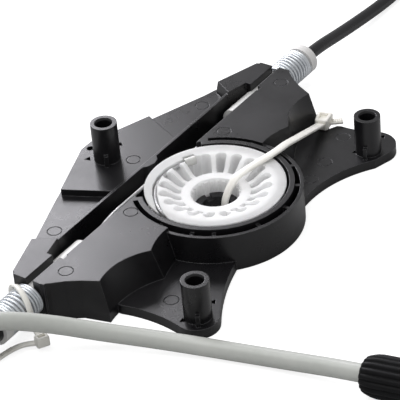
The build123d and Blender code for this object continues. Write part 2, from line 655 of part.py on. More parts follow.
def ferrule():
    """Cap between the left sleeve and its conduit, with a spigot in the sleeve's socket."""
    start = on_line(-SLEEVE_OUT_X)
    end = on_line(-SLEEVE_OUT_X - FERRULE_LENGTH)
    inside = on_line(-SEAT_X)
    body = rod(FERRULE_OD / 2, start, end) + rod(CONDUIT_BLACK_OD / 2, start, inside)
    return body - rod(SLEEVE_BORE / 2, inside, end)


BOOT_LENGTH = 32.0
BOOT_NECK_R = 4.2
BOOT_R = 8.0
BOOT_FLUTES = 18
FLUTE_R = 1.0
FLUTE_OUT = 0.35


def boot_plane():
    return Plane(origin=LEFT_ROUTE[-1], z_dir=Vector(*LEFT_ROUTE[-1]) - Vector(*LEFT_ROUTE[-2]))


def rubber_boot():
    """Fluted boot at the far end of the left conduit."""
    outline = Polyline((0, 0), (BOOT_NECK_R, 0), (BOOT_NECK_R + 0.4, 1.2), (BOOT_R, 6.5), (BOOT_R, BOOT_LENGTH),
                       (0, BOOT_LENGTH), (0, 0))
    body = revolve(Plane.XZ * make_face(outline), Axis.Z)
    for i in range(BOOT_FLUTES):
        body -= Pos(*polar(BOOT_R + FLUTE_OUT, 360 / BOOT_FLUTES * i)) * Cylinder(FLUTE_R, 3 * BOOT_LENGTH)
    return boot_plane().location * body


END_CABLE = 24.0
END_NIPPLE = 6.0
END_NIPPLE_R = 2.5


def cable_end(start):
    """Bare end of a cable with its nipple, upright from the given height."""
    nipple_start = start + END_CABLE
    return disc(CABLE_OD / 2, start, nipple_start) + disc(END_NIPPLE_R, nipple_start, nipple_start + END_NIPPLE)


def boot_end_cable():
    return boot_plane().location * cable_end(BOOT_LENGTH)


def right_end_plane():
    last = Vector(*RIGHT_ROUTE[-1])
    before = Vector(*RIGHT_ROUTE[-2])
    flat = Vector(last.X - before.X, last.Y - before.Y, 0)
    return Plane(origin=last, x_dir=(0, 0, 1), z_dir=flat)


STOP_LENGTH = 12.0
STOP_GAP = 0.02


def conduit_stop():
    """Plain end stop of the right conduit."""
    body = Cylinder(CONDUIT_BLACK_OD / 2 - STOP_GAP, STOP_LENGTH, align=(Align.CENTER, Align.CENTER, Align.MIN))
    return right_end_plane().location * body


def stop_end_cable():
    return right_end_plane().location * cable_end(STOP_LENGTH)


# Ties
LEVEL_SHARE = 0.3
PIN_INSET = 0.06


def strap_sides(points):
    """Direction across the strap on each run: level and square to the run, and kept where the run is upright."""
    sides = []
    for a, b in zip(points, points[1:]):
        run = (Vector(*b) - Vector(*a)).normalized()
        level = Vector(-run.Y, run.X, 0)
        if level.length < LEVEL_SHARE:
            sides.append(sides[-1])
        else:
            sides.append(level.normalized() * (1 if level.Y > 0 else -1))
    return sides


def strap(points, width, thick):
    """A flat strap along straight runs, as a chain of bars with round joints."""
    sides = strap_sides(points)
    pieces = []
    for a, b, side in zip(points, points[1:], sides):
        line = Vector(*b) - Vector(*a)
        plane = Plane(origin=Vector(*a), x_dir=side, z_dir=line)
        pieces.append(extrude(plane * Rectangle(width, thick), line.length))
    for place, side in zip(points[1:-1], sides[1:]):
        half = width / 2 - PIN_INSET
        pin = Plane(origin=Vector(*place) - side * half, z_dir=side)
        pieces.append(extrude(pin * Circle(thick / 2 - PIN_INSET), 2 * half))
    body = pieces[0]
    for piece in pieces[1:]:
        body += piece
    return body


def transport_tie():
    head = Pos(*TIE_HEAD_PLACE) * Box(*TIE_HEAD)
    return strap(TIE_ROUTE, TIE_WIDTH, TIE_THICK) + strap(TIE_TAIL, TIE_WIDTH, TIE_THICK) + head


CLIP_X = -91.0
CLIP_TURN = -27.0
CLIP_GAP = 0.3
CLIP_LOW = 1.7
CLIP_HEAD = (5.0, 4.2, 4.8)
CLIP_HEAD_PLACE = (-19.5, 0.8, -1.2)
CLIP_LEG_X = -18.5


def spring_tie():
    """Small tie round the left spring, with its head on the floor in front."""
    turn = radians(CLIP_TURN)
    face = Plane(origin=on_line(CLIP_X), x_dir=(-sin(turn), cos(turn), 0), z_dir=(cos(turn), sin(turn), 0))
    inner_r = SPRING_OD / 2 + CLIP_GAP
    outer_r = inner_r + CLIP_THICK
    reach = 2 * SPRING_OD
    inner = rod(inner_r, on_line(CLIP_X - reach), on_line(CLIP_X + reach))
    outer = rod(outer_r, on_line(CLIP_X - reach), on_line(CLIP_X + reach))
    band = (outer - inner) & (face.location * Box(2 * reach, 2 * reach, CLIP_WIDTH))
    drop = CLIP_LOW - CABLE_LINE_Z
    near = (1.9 - inner_r, -0.1 - inner_r)
    far = (-0.3 - inner_r, 1.0)
    leg = Polyline(near, (CLIP_LEG_X, drop), (CLIP_LEG_X, drop + CLIP_THICK), far, near)
    band += extrude(face * make_face(leg), CLIP_WIDTH / 2, both=True) - inner
    head_x, above, along = CLIP_HEAD_PLACE
    return band + face * Pos(head_x, drop + above, along) * Box(*CLIP_HEAD)


PARTS = {
    "housing": housing,
    "cable_drum": cable_drum,
    "cable_nipple_upper": lambda: nipple(NIPPLE_ANGLE, UPPER_CABLE_Z),
    "cable_nipple_lower": lambda: nipple(LOWER_NIPPLE_ANGLE, DRUM_Z0 + NIPPLE_R),
    "cable_winding_upper": winding_upper,
    "cable_winding_lower": winding_lower,
    "cable_run_left": lambda: cable_run(-1, UPPER_CABLE_Z),
    "cable_run_right": lambda: cable_run(1, LOWER_CABLE_Z),
    "guide_sleeve_left": lambda: sleeve(-1, CONDUIT_BLACK_OD / 2 + RUNNING_CLEARANCE),
    "guide_sleeve_right": lambda: sleeve(1, CONDUIT_BLACK_OD / 2 + RUNNING_CLEARANCE),
    "tension_spring_left": lambda: spring(-1),
    "tension_spring_right": lambda: spring(1),
    "conduit_ferrule_left": ferrule,
    "conduit_left": lambda: cord(CONDUIT_GREY_OD, LEFT_ROUTE, "left conduit"),
    "conduit_right": lambda: cord(CONDUIT_BLACK_OD, RIGHT_ROUTE, "right conduit"),
    "rubber_boot": rubber_boot,
    "cable_end_left": boot_end_cable,
    "conduit_stop_right": conduit_stop,
    "cable_end_right": stop_end_cable,
    "transport_tie": transport_tie,
    "spring_tie": spring_tie,
}

os.makedirs("parts", exist_ok=True)
for name, make in PARTS.items():
    solid = make()
    export_step(solid, f"parts/{name}.step")
    print(name, "solids", len(solid.solids()), "volume", round(solid.volume))
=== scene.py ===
# %% [markdown]
# # Drum unit of a cable window regulator
#
# This unit sits inside a car door. A motor turns a white drum, the drum winds one steel cable in and
# lets another out, and the cables leave through two spring-loaded sleeves into their conduits. The
# rigid solids come from CAD in one fixed frame, so this lesson gives them light, finishes and the
# fine pieces that a solid lacks: strands, coils, ribs, teeth and flutes.

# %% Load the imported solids
import json
import math

import bmesh
import bpy
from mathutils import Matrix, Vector


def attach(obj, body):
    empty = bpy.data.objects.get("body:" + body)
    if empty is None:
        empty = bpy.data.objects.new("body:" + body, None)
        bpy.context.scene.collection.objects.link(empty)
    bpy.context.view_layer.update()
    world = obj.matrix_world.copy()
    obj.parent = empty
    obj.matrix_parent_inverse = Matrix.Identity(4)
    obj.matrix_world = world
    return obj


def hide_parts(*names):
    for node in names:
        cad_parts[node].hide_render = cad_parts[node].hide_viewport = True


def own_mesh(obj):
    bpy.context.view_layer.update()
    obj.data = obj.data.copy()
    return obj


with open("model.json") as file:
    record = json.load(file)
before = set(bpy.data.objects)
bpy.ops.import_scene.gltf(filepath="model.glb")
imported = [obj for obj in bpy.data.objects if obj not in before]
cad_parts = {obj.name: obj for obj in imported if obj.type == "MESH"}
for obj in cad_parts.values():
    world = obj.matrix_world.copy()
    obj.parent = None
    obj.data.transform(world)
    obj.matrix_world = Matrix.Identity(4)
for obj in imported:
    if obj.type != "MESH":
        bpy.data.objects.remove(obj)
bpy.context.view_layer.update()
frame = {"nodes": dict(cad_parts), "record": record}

# %% [markdown]
# ## Camera
#
# The part was photographed from about 34 degrees above the table with a long lens, so its far side
# hardly shrinks. The angles below were fitted to the rim of the drum, to the posts and to the
# housing's outline. A camera could also be aimed with a Track To constraint, but the photo is turned
# a little in its own plane, so the three axes of the view are worked out and set as a matrix.

# %% Camera at the photo's angle
MM = 0.001


def add_object(name, data):
    """A new object that shows in the scene."""
    made = bpy.data.objects.new(name, data)
    bpy.context.scene.collection.objects.link(made)
    return made


# The view's angles, its distance from a point on the part, and the lens
VIEW_HEADING = math.radians(52.93)
VIEW_PITCH = math.radians(34.41)
VIEW_ROLL = math.radians(-5.19)
VIEW_DISTANCE = 876.5 * MM
VIEW_TARGET = Vector((8.22, 14.30, 0.0)) * MM
VIEW_FOCAL = 196.6


def view_axes():
    """Right, up and forward of the view, with its roll."""
    forward = Vector((math.sin(VIEW_HEADING) * math.cos(VIEW_PITCH),
                      math.cos(VIEW_HEADING) * math.cos(VIEW_PITCH), -math.sin(VIEW_PITCH)))
    level = Vector((math.cos(VIEW_HEADING), -math.sin(VIEW_HEADING), 0.0))
    upright = level.cross(forward)
    right = level * math.cos(VIEW_ROLL) + upright * math.sin(VIEW_ROLL)
    up = upright * math.cos(VIEW_ROLL) - level * math.sin(VIEW_ROLL)
    return right, up, forward


def add_camera():
    right, up, forward = view_axes()
    lens = bpy.data.cameras.new("photo_camera")
    lens.lens = VIEW_FOCAL
    lens.sensor_width = 36.0
    lens.clip_start = 0.01
    camera = add_object("photo_camera", lens)
    place = VIEW_TARGET - forward * VIEW_DISTANCE
    matrix = camera.matrix_world.copy()
    for column, axis in enumerate((right, up, -forward, place)):
        for row in range(3):
            matrix[row][column] = axis[row]
    camera.matrix_world = matrix
    bpy.context.scene.camera = camera
    return camera


camera = add_camera()
bpy.context.scene.view_settings.view_transform = "Standard"
print("camera at", [round(value, 3) for value in camera.matrix_world.translation])

# %% [markdown]
# ## Shared shader groups
#
# Moulded plastic, zinc wire and rubber all show the same few effects: a tone that drifts a little, a
# very fine grain, and a highlight painted along the edges. Each effect is one node group with named inputs,
# placed in every material with its own values. One big shader for everything would be shorter, but
# it would hide which number belongs to which effect.

# %% Helpers for shader trees
def put(tree, kind, **inputs):
    """Adds a node and fills its inputs by name: a socket is linked, anything else is a plain value."""
    node = tree.nodes.new(kind)
    for name, value in inputs.items():
        socket = node.inputs[name.replace("_", " ")]
        if isinstance(value, bpy.types.NodeSocket):
            tree.links.new(value, socket)
        else:
            socket.default_value = value
    return node


def math_node(tree, operation, a, b=0.0, limit=False):
    """One Math node, where each operand is a socket or a number."""
    node = tree.nodes.new("ShaderNodeMath")
    node.operation = operation
    node.use_clamp = limit
    for index, value in enumerate((a, b)):
        if isinstance(value, bpy.types.NodeSocket):
            tree.links.new(value, node.inputs[index])
        else:
            node.inputs[index].default_value = value
    return node.outputs[0]


def mix_color(tree, factor, first, second):
    """One Mix node set to colour: its inputs 6 and 7 are the two colours, its output 2 is the mix."""
    node = tree.nodes.new("ShaderNodeMix")
    node.data_type = "RGBA"
    for index, value in ((0, factor), (6, first), (7, second)):
        if isinstance(value, bpy.types.NodeSocket):
            tree.links.new(value, node.inputs[index])
        else:
            node.inputs[index].default_value = value
    return node.outputs[2]


def shader_group(name, inputs, outputs):
    """An empty node group with its sockets, ready to be filled between its two end nodes."""
    group = bpy.data.node_groups.new(name, "ShaderNodeTree")
    for label, kind, value in inputs:
        socket = group.interface.new_socket(label, in_out="INPUT", socket_type=kind)
        if value is not None:
            socket.default_value = value
    for label, kind in outputs:
        group.interface.new_socket(label, in_out="OUTPUT", socket_type=kind)
    return group, group.nodes.new("NodeGroupInput").outputs, group.nodes.new("NodeGroupOutput").inputs


# %% Tone drift, fine grain and painted edge highlight
def build_tone_drift():
    """Broad patches where the colour and the gloss wander a little, as on any moulded or drawn surface."""
    group, given, result = shader_group(
        "tone_drift",
        [("Vector", "NodeSocketVector", None), ("Base", "NodeSocketColor", (0.5, 0.5, 0.5, 1)),
         ("Shade", "NodeSocketColor", (0.4, 0.4, 0.4, 1)), ("Scale", "NodeSocketFloat", 60.0),
         ("Roughness", "NodeSocketFloat", 0.5), ("Spread", "NodeSocketFloat", 0.08)],
        [("Color", "NodeSocketColor"), ("Roughness", "NodeSocketFloat")])
    broad = put(group, "ShaderNodeTexNoise", Vector=given["Vector"], Scale=given["Scale"], Detail=4.0)
    fine_scale = math_node(group, "MULTIPLY", given["Scale"], 9.0)
    fine = put(group, "ShaderNodeTexNoise", Vector=given["Vector"], Scale=fine_scale, Detail=2.0)
    both = math_node(group, "ADD", math_node(group, "MULTIPLY", broad.outputs[0], 0.7),
                     math_node(group, "MULTIPLY", fine.outputs[0], 0.3))
    ramp = put(group, "ShaderNodeMapRange", Value=both, From_Min=0.35, From_Max=0.65)
    group.links.new(mix_color(group, ramp.outputs[0], given["Base"], given["Shade"]), result["Color"])
    centred = math_node(group, "SUBTRACT", ramp.outputs[0], 0.5)
    spread = math_node(group, "MULTIPLY", centred, given["Spread"])
    group.links.new(math_node(group, "ADD", given["Roughness"], spread, limit=True), result["Roughness"])
    return group


def build_fine_grain():
    """Height of a spark-eroded mould's grain, with sparse soft scratches across it."""
    group, given, result = shader_group(
        "fine_grain",
        [("Vector", "NodeSocketVector", None), ("Scale", "NodeSocketFloat", 3000.0),
         ("Scratches", "NodeSocketFloat", 0.2)],
        [("Height", "NodeSocketFloat")])
    grain = put(group, "ShaderNodeTexNoise", Vector=given["Vector"], Scale=given["Scale"], Detail=2.0)
    stretch = put(group, "ShaderNodeMapping", Vector=given["Vector"], Rotation=(0.3, 0.2, 0.6),
                  Scale=(40.0, 900.0, 900.0))
    lines = put(group, "ShaderNodeTexNoise", Vector=stretch.outputs[0], Scale=1.0, Detail=3.0)
    cut = put(group, "ShaderNodeMapRange", Value=lines.outputs[0], From_Min=0.62, From_Max=0.72)
    depth = math_node(group, "MULTIPLY", cut.outputs[0], given["Scratches"])
    group.links.new(math_node(group, "SUBTRACT", grain.outputs[0], depth), result["Height"])
    return group


def build_painted_edge_highlight():
    """Mask for a painted highlight on the edges: where the rounded normal leaves the face's own normal,
    broken up a little.
    """
    group, given, result = shader_group(
        "painted_edge_highlight",
        [("Vector", "NodeSocketVector", None), ("Rounded", "NodeSocketVector", None),
         ("Strength", "NodeSocketFloat", 0.5)],
        [("Mask", "NodeSocketFloat")])
    facing = put(group, "ShaderNodeNewGeometry")
    dot = group.nodes.new("ShaderNodeVectorMath")
    dot.operation = "DOT_PRODUCT"
    group.links.new(given["Rounded"], dot.inputs[0])
    group.links.new(facing.outputs["True Normal"], dot.inputs[1])
    turned = put(group, "ShaderNodeMapRange", Value=dot.outputs["Value"], From_Min=0.995, From_Max=0.80)
    broken = put(group, "ShaderNodeTexNoise", Vector=given["Vector"], Scale=400.0, Detail=3.0)
    kept = put(group, "ShaderNodeMapRange", Value=broken.outputs[0], From_Min=0.3, From_Max=0.6)
    mask = math_node(group, "MULTIPLY", turned.outputs[0], kept.outputs[0])
    group.links.new(math_node(group, "MULTIPLY", mask, given["Strength"], limit=True), result["Mask"])
    return group


TONE_DRIFT = build_tone_drift()
FINE_GRAIN = build_fine_grain()
PAINTED_EDGE_HIGHLIGHT = build_painted_edge_highlight()
print("shader groups", TONE_DRIFT.name, FINE_GRAIN.name, PAINTED_EDGE_HIGHLIGHT.name)

# %% [markdown]
# ## Finishes
#
# Every finish is the same short chain: tone drift feeds colour and gloss, grain feeds a bump, and a
# Bevel node rounds the sharp CAD edges by a few tenths of a millimetre so that they catch a thin
# line of light. On the housing a lighter colour is also painted along those edges as a highlight.
# A Bevel modifier could round them for real, but on solids cut by hundreds of small pockets it
# leaves folds, so the shader's rounding was chosen.

# %% One function for all finishes
BEVEL_SAMPLES = 6


def make_finish(slot, base, shade, roughness, spread=0.08, drift=60.0, grain=3000.0, bump=0.02, scratches=0.2,
                edge_radius=0.3, painted_highlight_color=None, painted_highlight_strength=0.5, **shader_values):
    material = bpy.data.materials.new(slot)
    material.use_nodes = True
    tree = material.node_tree
    shader = tree.nodes["Principled BSDF"]
    spot = tree.nodes.new("ShaderNodeTexCoord").outputs["Object"]
    tone = tree.nodes.new("ShaderNodeGroup")
    tone.node_tree = TONE_DRIFT
    for name, value in (("Base", base + (1,)), ("Shade", shade + (1,)), ("Scale", drift),
                        ("Roughness", roughness), ("Spread", spread)):
        tone.inputs[name].default_value = value
    tree.links.new(spot, tone.inputs["Vector"])
    rounded = put(tree, "ShaderNodeBevel", Radius=edge_radius * MM)
    rounded.samples = BEVEL_SAMPLES
    color = tone.outputs["Color"]
    # Where a colour is given, it is mixed in along the edges as a painted highlight.
    if painted_highlight_color is not None:
        edge = tree.nodes.new("ShaderNodeGroup")
        edge.node_tree = PAINTED_EDGE_HIGHLIGHT
        edge.inputs["Strength"].default_value = painted_highlight_strength
        tree.links.new(spot, edge.inputs["Vector"])
        tree.links.new(rounded.outputs[0], edge.inputs["Rounded"])
        color = mix_color(tree, edge.outputs["Mask"], color, painted_highlight_color + (1,))
    tree.links.new(color, shader.inputs["Base Color"])
    tree.links.new(tone.outputs["Roughness"], shader.inputs["Roughness"])
    fine = tree.nodes.new("ShaderNodeGroup")
    fine.node_tree = FINE_GRAIN
    fine.inputs["Scale"].default_value = grain
    fine.inputs["Scratches"].default_value = scratches
    tree.links.new(spot, fine.inputs["Vector"])
    relief = put(tree, "ShaderNodeBump", Strength=1.0, Distance=bump * MM, Height=fine.outputs["Height"],
                 Normal=rounded.outputs[0])
    tree.links.new(relief.outputs[0], shader.inputs["Normal"])
    for name, value in shader_values.items():
        shader.inputs[name.replace("_", " ")].default_value = value
    return material


# %% The ten finishes of the part
EVEN_SCATTER = (1.0, 1.0, 1.0)
FINISHES = {
    # The housing's grey edge colour is a painted highlight along its edges.
    "housing_black": make_finish("housing_black", (0.0075, 0.0072, 0.0082), (0.011, 0.0106, 0.012), 0.30,
                                 spread=0.08, drift=45.0, grain=2600.0, bump=0.012, edge_radius=0.35,
                                 painted_highlight_color=(0.17, 0.17, 0.18), painted_highlight_strength=0.8, Specular_IOR_Level=0.42),
    "drum_white": make_finish("drum_white", (0.96, 0.96, 0.96), (0.93, 0.93, 0.935), 0.5, drift=50.0,
                              bump=0.006, edge_radius=0.45, Specular_IOR_Level=0.12, Subsurface_Weight=0.85,
                              Subsurface_Scale=0.007, Subsurface_Radius=EVEN_SCATTER),
    "sleeve_white": make_finish("sleeve_white", (0.78, 0.77, 0.76), (0.73, 0.72, 0.71), 0.38, bump=0.006,
                                edge_radius=0.3, Subsurface_Weight=0.08, Subsurface_Scale=0.002,
                                Subsurface_Radius=EVEN_SCATTER),
    "spring_zinc": make_finish("spring_zinc", (0.82, 0.85, 0.88), (0.68, 0.71, 0.75), 0.36, spread=0.12,
                               drift=300.0, bump=0.004, edge_radius=0.05, Metallic=0.85),
    "cable_steel": make_finish("cable_steel", (0.62, 0.62, 0.62), (0.45, 0.45, 0.46), 0.42, spread=0.15,
                               drift=400.0, bump=0.004, edge_radius=0.05, Metallic=0.6),
    "nipple_zinc": make_finish("nipple_zinc", (0.74, 0.74, 0.72), (0.62, 0.62, 0.60), 0.48, bump=0.01,
                               edge_radius=0.25, Metallic=0.4),
    "conduit_black": make_finish("conduit_black", (0.008, 0.008, 0.009), (0.013, 0.013, 0.015), 0.24,
                                 drift=70.0, bump=0.01, edge_radius=0.2, Specular_IOR_Level=0.45),
    "conduit_grey": make_finish("conduit_grey", (0.58, 0.59, 0.56), (0.52, 0.535, 0.505), 0.34, drift=40.0,
                                bump=0.008, edge_radius=0.1, Subsurface_Weight=0.2, Subsurface_Scale=0.003,
                                Subsurface_Radius=EVEN_SCATTER),
    "boot_rubber": make_finish("boot_rubber", (0.006, 0.006, 0.0065), (0.010, 0.010, 0.011), 0.5, drift=90.0,
                               grain=2000.0, bump=0.03, edge_radius=0.25, Specular_IOR_Level=0.1),
    "tie_natural": make_finish("tie_natural", (0.95, 0.93, 0.87), (0.90, 0.875, 0.81), 0.36, drift=90.0,
                               bump=0.008, edge_radius=0.2, Subsurface_Weight=0.3, Subsurface_Scale=0.002,
                               Subsurface_Radius=EVEN_SCATTER),
}
SLOT_OF = {part["node"]: part["material_slot"] for part in frame["record"]["subparts"]}


def dress_node(name):
    """Gives a CAD node its finish."""
    mesh = frame["nodes"][name].data
    mesh.materials.clear()
    mesh.materials.append(FINISHES[SLOT_OF[name]])


for node_name in frame["nodes"]:
    dress_node(node_name)
print("finishes", len(FINISHES), "given to", len(frame["nodes"]), "nodes")

# %% [markdown]
# ## Routes of the two conduits
#
# A conduit is a fixed length of stiff tube, so its line is smooth everywhere. Straight pieces with
# rounded corners would look like bent wire. A NURBS spline through a few control points gives one
# long curve, and the tube or its ribs are then made along it.

# %% Smooth routes
CABLE_Y = 26.6
CABLE_Z = 9.3

# Control points in millimetres, the same as those of the CAD tubes
RIGHT_ROUTE = [(102.2, 26.6, 9.3), (117.0, 26.6, 9.25), (141.0, 26.6, 5.6), (177.0, 25.6, 2.8),
               (199.0, 26.4, 2.76), (221.0, 34.0, 2.78), (236.0, 52.0, 2.77), (240.0, 75.0, 2.76),
               (231.0, 97.0, 2.77), (212.0, 111.0, 2.76), (194.0, 114.5, 2.76)]
LEFT_ROUTE = [(-117.6, 26.6, 9.3), (-134.0, 25.4, 8.0), (-160.0, 12.5, 3.8), (-191.7, -3.3, 3.5),
              (-214.5, -1.0, 3.47), (-233.0, 12.5, 3.5), (-242.1, 33.7, 3.5), (-239.1, 56.5, 3.6),
              (-224.9, 74.5, 4.6), (-203.5, 82.9, 7.2), (-180.8, 79.1, 10.2), (-148.0, 51.8, 16.2),
              (-124.0, 31.2, 19.2), (-111.3, 20.9, 18.4), (-97.6, 8.1, 12.0), (-88.2, -7.1, 7.5),
              (-80.0, -23.9, 5.0), (-73.9, -41.7, 4.0), (-68.7, -60.0, 3.6), (-64.6, -78.5, 4.2),
              (-62.4, -94.0, 5.8), (-61.9, -104.4, 7.2)]


def smooth_curve(name, points, resolution=12):
    """A curve object of one open NURBS spline whose control points are the route."""
    data = bpy.data.curves.new(name, "CURVE")
    data.dimensions = "3D"
    spline = data.splines.new("NURBS")
    spline.points.add(len(points) - 1)
    for target, place in zip(spline.points, points):
        target.co = (place[0] * MM, place[1] * MM, place[2] * MM, 1.0)
    spline.order_u = 3
    spline.use_endpoint_u = True
    data.resolution_u = resolution
    return add_object(name, data)


def line_points(curve):
    """The points along a curve that has no bevel, in order."""
    bpy.context.view_layer.update()
    mesh = bpy.data.meshes.new_from_object(curve)
    points = [tuple(vertex.co) for vertex in mesh.vertices]
    bpy.data.meshes.remove(mesh)
    return points


def line_length(points):
    """The length of the line through the points."""
    return sum(math.dist(a, b) for a, b in zip(points, points[1:]))


print("route points", len(RIGHT_ROUTE), "on the right,", len(LEFT_ROUTE), "on the left")

# %% [markdown]
# ## Helpers for Geometry Nodes
#
# Coils, strands, ribs and teeth repeat, so node trees make them. Each tree has named inputs for its
# sizes. The result is turned into a plain mesh at once, because the export drops instances and the
# frame only knows finished pieces.

# %% Building and applying a tree
def repeat_tree(name, sizes):
    """A geometry tree with a geometry in and out, a material input and one input for each size."""
    tree = bpy.data.node_groups.new(name, "GeometryNodeTree")
    tree.interface.new_socket("Geometry", in_out="INPUT", socket_type="NodeSocketGeometry")
    tree.interface.new_socket("Material", in_out="INPUT", socket_type="NodeSocketMaterial")
    for label, value in sizes.items():
        kind = "NodeSocketInt" if isinstance(value, int) else "NodeSocketFloat"
        socket = tree.interface.new_socket(label, in_out="INPUT", socket_type=kind)
        socket.default_value = value
    tree.interface.new_socket("Geometry", in_out="OUTPUT", socket_type="NodeSocketGeometry")
    return tree, tree.nodes.new("NodeGroupInput").outputs


def walk_curve(tree, curve, step):
    """The curve cut into even steps."""
    walk = tree.nodes.new("GeometryNodeResampleCurve")
    walk.mode = "LENGTH"
    tree.links.new(curve, walk.inputs["Curve"])
    tree.links.new(step, walk.inputs["Length"])
    return walk


def round_profile(tree, sides, diameter):
    """A circle to sweep along a curve."""
    return put(tree, "GeometryNodeCurvePrimitiveCircle", Resolution=sides,
               Radius=math_node(tree, "MULTIPLY", diameter, 0.5)).outputs[0]


def sweep_profile(tree, curve, profile):
    """The closed skin of a profile that follows a curve."""
    return put(tree, "GeometryNodeCurveToMesh", Curve=curve, Profile_Curve=profile, Fill_Caps=True).outputs[0]


def end_tree(tree, given, geometry, smooth=True):
    """Shade, realize and give the material, then leave the tree."""
    shaded = put(tree, "GeometryNodeSetShadeSmooth", Geometry=geometry, Shade_Smooth=smooth)
    real = put(tree, "GeometryNodeRealizeInstances", Geometry=shaded.outputs[0])
    painted = put(tree, "GeometryNodeSetMaterial", Geometry=real.outputs[0], Material=given["Material"])
    out = tree.nodes.new("NodeGroupOutput")
    tree.links.new(painted.outputs[0], out.inputs[0])


def grow(name, tree, sizes, finish, source=None):
    """Runs a tree on a source object, or on nothing, and keeps its result as a plain mesh piece."""
    carrier = source
    if carrier is None:
        carrier = add_object(name + "_carrier", bpy.data.meshes.new(name + "_carrier"))
    modifier = carrier.modifiers.new("grow", "NODES")
    modifier.node_group = tree
    for item in tree.interface.items_tree:
        if item.in_out == "INPUT" and item.name in sizes:
            modifier[item.identifier] = sizes[item.name]
        if item.in_out == "INPUT" and item.name == "Material":
            modifier[item.identifier] = FINISHES[finish]
    bpy.context.view_layer.update()
    evaluated = carrier.evaluated_get(bpy.context.evaluated_depsgraph_get())
    mesh = bpy.data.meshes.new_from_object(evaluated)
    mesh.name = name
    mesh.materials.clear()
    mesh.materials.append(FINISHES[finish])
    piece = add_object(name, mesh)
    bpy.data.objects.remove(carrier)
    print(name, "faces", len(mesh.polygons))
    return piece


def finish_piece(piece, slot_name, body, *nodes):
    """Gives the piece its slot's finish if it has none, hides the CAD nodes that it stands for and lets it
    ride on its body.
    """
    if not piece.data.materials:
        piece.data.materials.append(FINISHES[slot_name])
    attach(piece, body)
    if nodes:
        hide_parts(*nodes)


# %% [markdown]
# ## The grey conduit
#
# The left conduit is a translucent grey plastic tube with very fine rings pressed round it. A plain
# bevelled curve would be smooth, so a tree walks along the curve and lets the tube's radius rise and
# fall with the length, which gives the rings as real shape.

# %% Ribbed tube along a curve
GREY_DIAMETER = 6.9


def build_ribbed_tube():
    """A tube whose radius falls a little between rings that are one pitch apart."""
    tree, given = repeat_tree("ribbed_tube", {"Diameter": 0.0069, "Pitch": 0.0023, "Depth": 0.025,
                                              "Step": 0.0004, "Sides": 24})
    walk = walk_curve(tree, given["Geometry"], given["Step"])
    along = tree.nodes.new("GeometryNodeSplineParameter").outputs["Length"]
    turns = math_node(tree, "DIVIDE", along, given["Pitch"])
    wave = math_node(tree, "SINE", math_node(tree, "MULTIPLY", turns, 2 * math.pi))
    swell = math_node(tree, "MULTIPLY", math_node(tree, "SUBTRACT", wave, 1.0), given["Depth"])
    radius = math_node(tree, "ADD", swell, 1.0)
    thick = put(tree, "GeometryNodeSetCurveRadius", Curve=walk.outputs[0], Radius=radius)
    ring = round_profile(tree, given["Sides"], given["Diameter"])
    end_tree(tree, given, sweep_profile(tree, thick.outputs[0], ring))
    return tree


RIBBED_TUBE = build_ribbed_tube()
grey_line_curve = smooth_curve("grey_conduit_line", LEFT_ROUTE)
grey_line = line_points(grey_line_curve)
grey_conduit = grow("grey_conduit", RIBBED_TUBE, {"Diameter": GREY_DIAMETER * MM}, "conduit_grey",
                    grey_line_curve)
finish_piece(grey_conduit, "conduit_grey", "sleeve_left_body", "conduit_left")
print("grey conduit length", round(line_length(grey_line), 4))

# %% [markdown]
# ## The black conduit
#
# The right conduit is smooth extruded plastic. A curve with a round bevel is all it needs.

# %% Plain tube
BLACK_DIAMETER = 5.5
black_conduit = smooth_curve("black_conduit", RIGHT_ROUTE)
black_line = line_points(black_conduit)
black_conduit.data.bevel_depth = BLACK_DIAMETER / 2 * MM
black_conduit.data.bevel_resolution = 6
black_conduit.data.use_fill_caps = True
black_conduit.data.materials.append(FINISHES["conduit_black"])
finish_piece(black_conduit, "conduit_black", "sleeve_right_body", "conduit_right")
print("black conduit length", round(line_length(black_line), 4))

# %% [markdown]
# ## The fluted boot
#
# A rubber boot closes the far end of the grey conduit. It starts at a thin lip, opens in a short cone
# and runs on with soft flutes. A Screw or Spin would give a plain turned shape, so the rings of the
# mesh are set one by one, with a wave in their radius for the flutes.

# %% Boot along the conduit's last run
BOOT_FLUTES = 18
FLUTE_DEPTH = 1.0
POINTS_PER_FLUTE = 8
FLUTE_SHARPNESS = 0.7

# Distance along the boot, radius, and how much of the flute's depth is there
BOOT_STATIONS = [(0.0, 3.6, 0.0), (0.1, 5.4, 0.1), (0.6, 6.6, 0.4), (1.8, 7.2, 0.7), (3.6, 7.7, 0.9),
                 (6.0, 8.0, 1.0), (12.0, 8.0, 1.0), (20.0, 8.0, 1.0), (28.0, 8.0, 1.0), (30.5, 7.9, 0.8),
                 (31.6, 7.4, 0.3), (32.0, 6.6, 0.0), (32.0, 1.0, 0.0)]


def end_frame(route):
    """Origin and three axes of a route's last run, the third along the run."""
    last, before = Vector(route[-1]), Vector(route[-2])
    along = (last - before).normalized()
    side = along.cross(Vector((0, 0, 1))).normalized()
    return last, side, side.cross(along), along


def ring_mesh(name, rings):
    """A closed skin through rings of points that all have the same count."""
    work = bmesh.new()
    made = [[work.verts.new(Vector(point) * MM) for point in ring] for ring in rings]
    count = len(made[0])
    for a, b in zip(made, made[1:]):
        for i in range(count):
            j = (i + 1) % count
            work.faces.new((a[i], a[j], b[j], b[i]))
    work.faces.new(list(reversed(made[0])))
    work.faces.new(made[-1])
    bmesh.ops.recalc_face_normals(work, faces=work.faces)
    mesh = bpy.data.meshes.new(name)
    work.to_mesh(mesh)
    work.free()
    for polygon in mesh.polygons:
        polygon.use_smooth = True
    return add_object(name, mesh)


